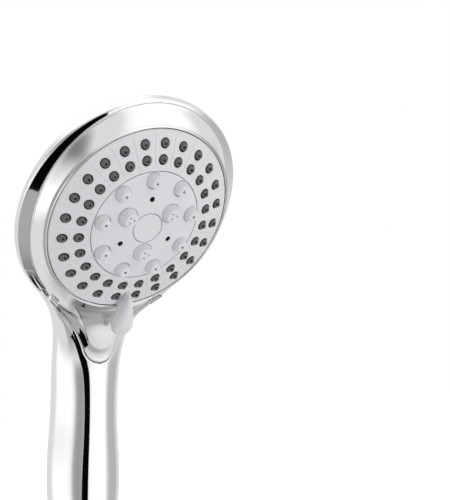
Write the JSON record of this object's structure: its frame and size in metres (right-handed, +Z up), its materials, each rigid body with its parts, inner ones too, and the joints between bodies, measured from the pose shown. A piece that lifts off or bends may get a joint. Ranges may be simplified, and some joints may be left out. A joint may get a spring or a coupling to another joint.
{
  "type": "handheld shower head",
  "caption": "Handheld shower head: chrome handle and head shell, domed spray face with soft nozzles and raised jet cones, turned by a lever; threaded water inlet.",
  "frame": {"origin": "centre of the end face of the threaded water inlet, at the bottom of the handle", "axes": "+Z up the lower handle along the inlet's axis, -Y the way the spray face looks (tilted 26.5 degrees down), +X to the right of someone looking along +Y"},
  "size_m": [0.1072, 0.0803, 0.2397],
  "materials": {
    "chrome": "bright chrome plate over moulded plastic",
    "chrome_thread": "chrome plate, slightly worn on the thread",
    "steel": "plain stainless steel",
    "seal_rubber": "matt black rubber",
    "white_plastic": "natural white moulded plastic",
    "dark_plastic": "dark grey moulded plastic",
    "green_plastic": "green moulded plastic",
    "blue_plastic": "blue moulded plastic",
    "nozzle_silicone": "dark grey silicone with a soft sheen",
    "face_plastic": "satin pale grey moulded plastic"
  },
  "bodies": {
    "handset": {"handle_shell": "chrome", "front_cover": "chrome", "inlet_nipple": "chrome_thread", "inlet_screen": "steel", "flow_regulator": "green_plastic", "regulator_seal": "seal_rubber", "water_tube": "white_plastic", "tube_lower_seal": "seal_rubber", "tube_upper_seal": "seal_rubber", "manifold": "dark_plastic", "manifold_screws": "steel", "port_seal": "seal_rubber", "seal_spring": "steel", "detent_spring": "steel", "centre_screw": "steel", "screw_washer": "white_plastic"},
    "detent": {"detent_plunger": "steel"},
    "spray_face": {"channel_plate": "white_plastic", "rotor_seal": "seal_rubber", "divider_plate": "white_plastic", "nozzle_mat": "nozzle_silicone", "face_plate": "face_plastic", "centre_disc": "face_plastic", "mist_jets": "face_plastic", "swirl_inserts": "blue_plastic", "massage_jets": "face_plastic", "centre_cap": "face_plastic", "selector_lever": "face_plastic"},
    "rotor": {"massage_rotor": "white_plastic"}
  },
  "joints": [
    {"name": "selector_turn", "type": "hinge", "parent": "handset", "child": "spray_face", "pos_m": [0, -0.048, 0.185], "axis": [0, -0.8949, -0.4462], "range_deg": [-48, 48]},
    {"name": "rotor_spin", "type": "hinge", "parent": "spray_face", "child": "rotor", "pos_m": [0, -0.048, 0.185], "axis": [0, -0.8949, -0.4462], "continuous": true},
    {"name": "detent_slide", "type": "slide", "parent": "handset", "child": "detent", "axis": [0, -0.8949, -0.4462], "range_m": [0, 0.0005], "stiffness_N_per_m": 300}
  ]
}
